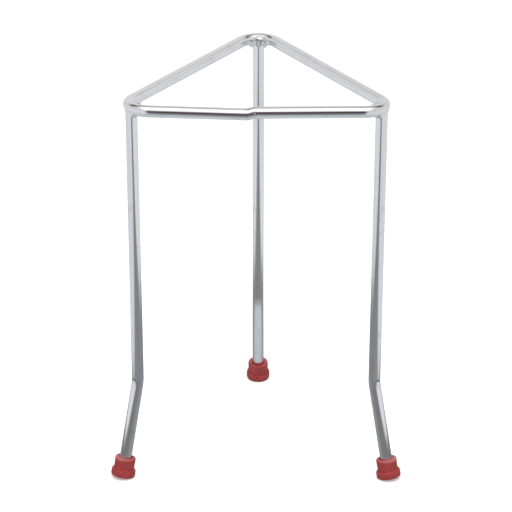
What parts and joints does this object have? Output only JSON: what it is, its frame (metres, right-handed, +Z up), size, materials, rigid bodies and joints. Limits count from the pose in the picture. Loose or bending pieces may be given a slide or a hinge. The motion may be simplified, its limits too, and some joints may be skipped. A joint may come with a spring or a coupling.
{
  "type": "lab tripod stand",
  "caption": "Triangular rod ring on splayed rod legs with rubber feet, holding a gauze or vessel over a burner.",
  "frame": {"origin": "on the bench, straight under the middle of the ring", "axes": "+Z up, +X to the right seen from the front, -Y towards the front bar, which holds the ring's joint; the back leg stands on +Y"},
  "size_m": [0.1466, 0.1313, 0.2],
  "materials": {
    "plated_rod": "bright plated steel rod with faint drawn lines along it",
    "plated_weld": "weld metal, lumpy, plated over",
    "rubber_foot": "plain moulded red rubber, satin"
  },
  "bodies": {
    "root": {"top_ring": "plated_rod", "ring_joint_weld": "plated_weld", "leg_front_left": "plated_rod", "leg_front_right": "plated_rod", "leg_back": "plated_rod", "weld_bead_front_left": "plated_weld", "weld_bead_front_right": "plated_weld", "weld_bead_back": "plated_weld", "foot_front_left": "rubber_foot", "foot_front_right": "rubber_foot", "foot_back": "rubber_foot"}
  },
  "joints": []
}
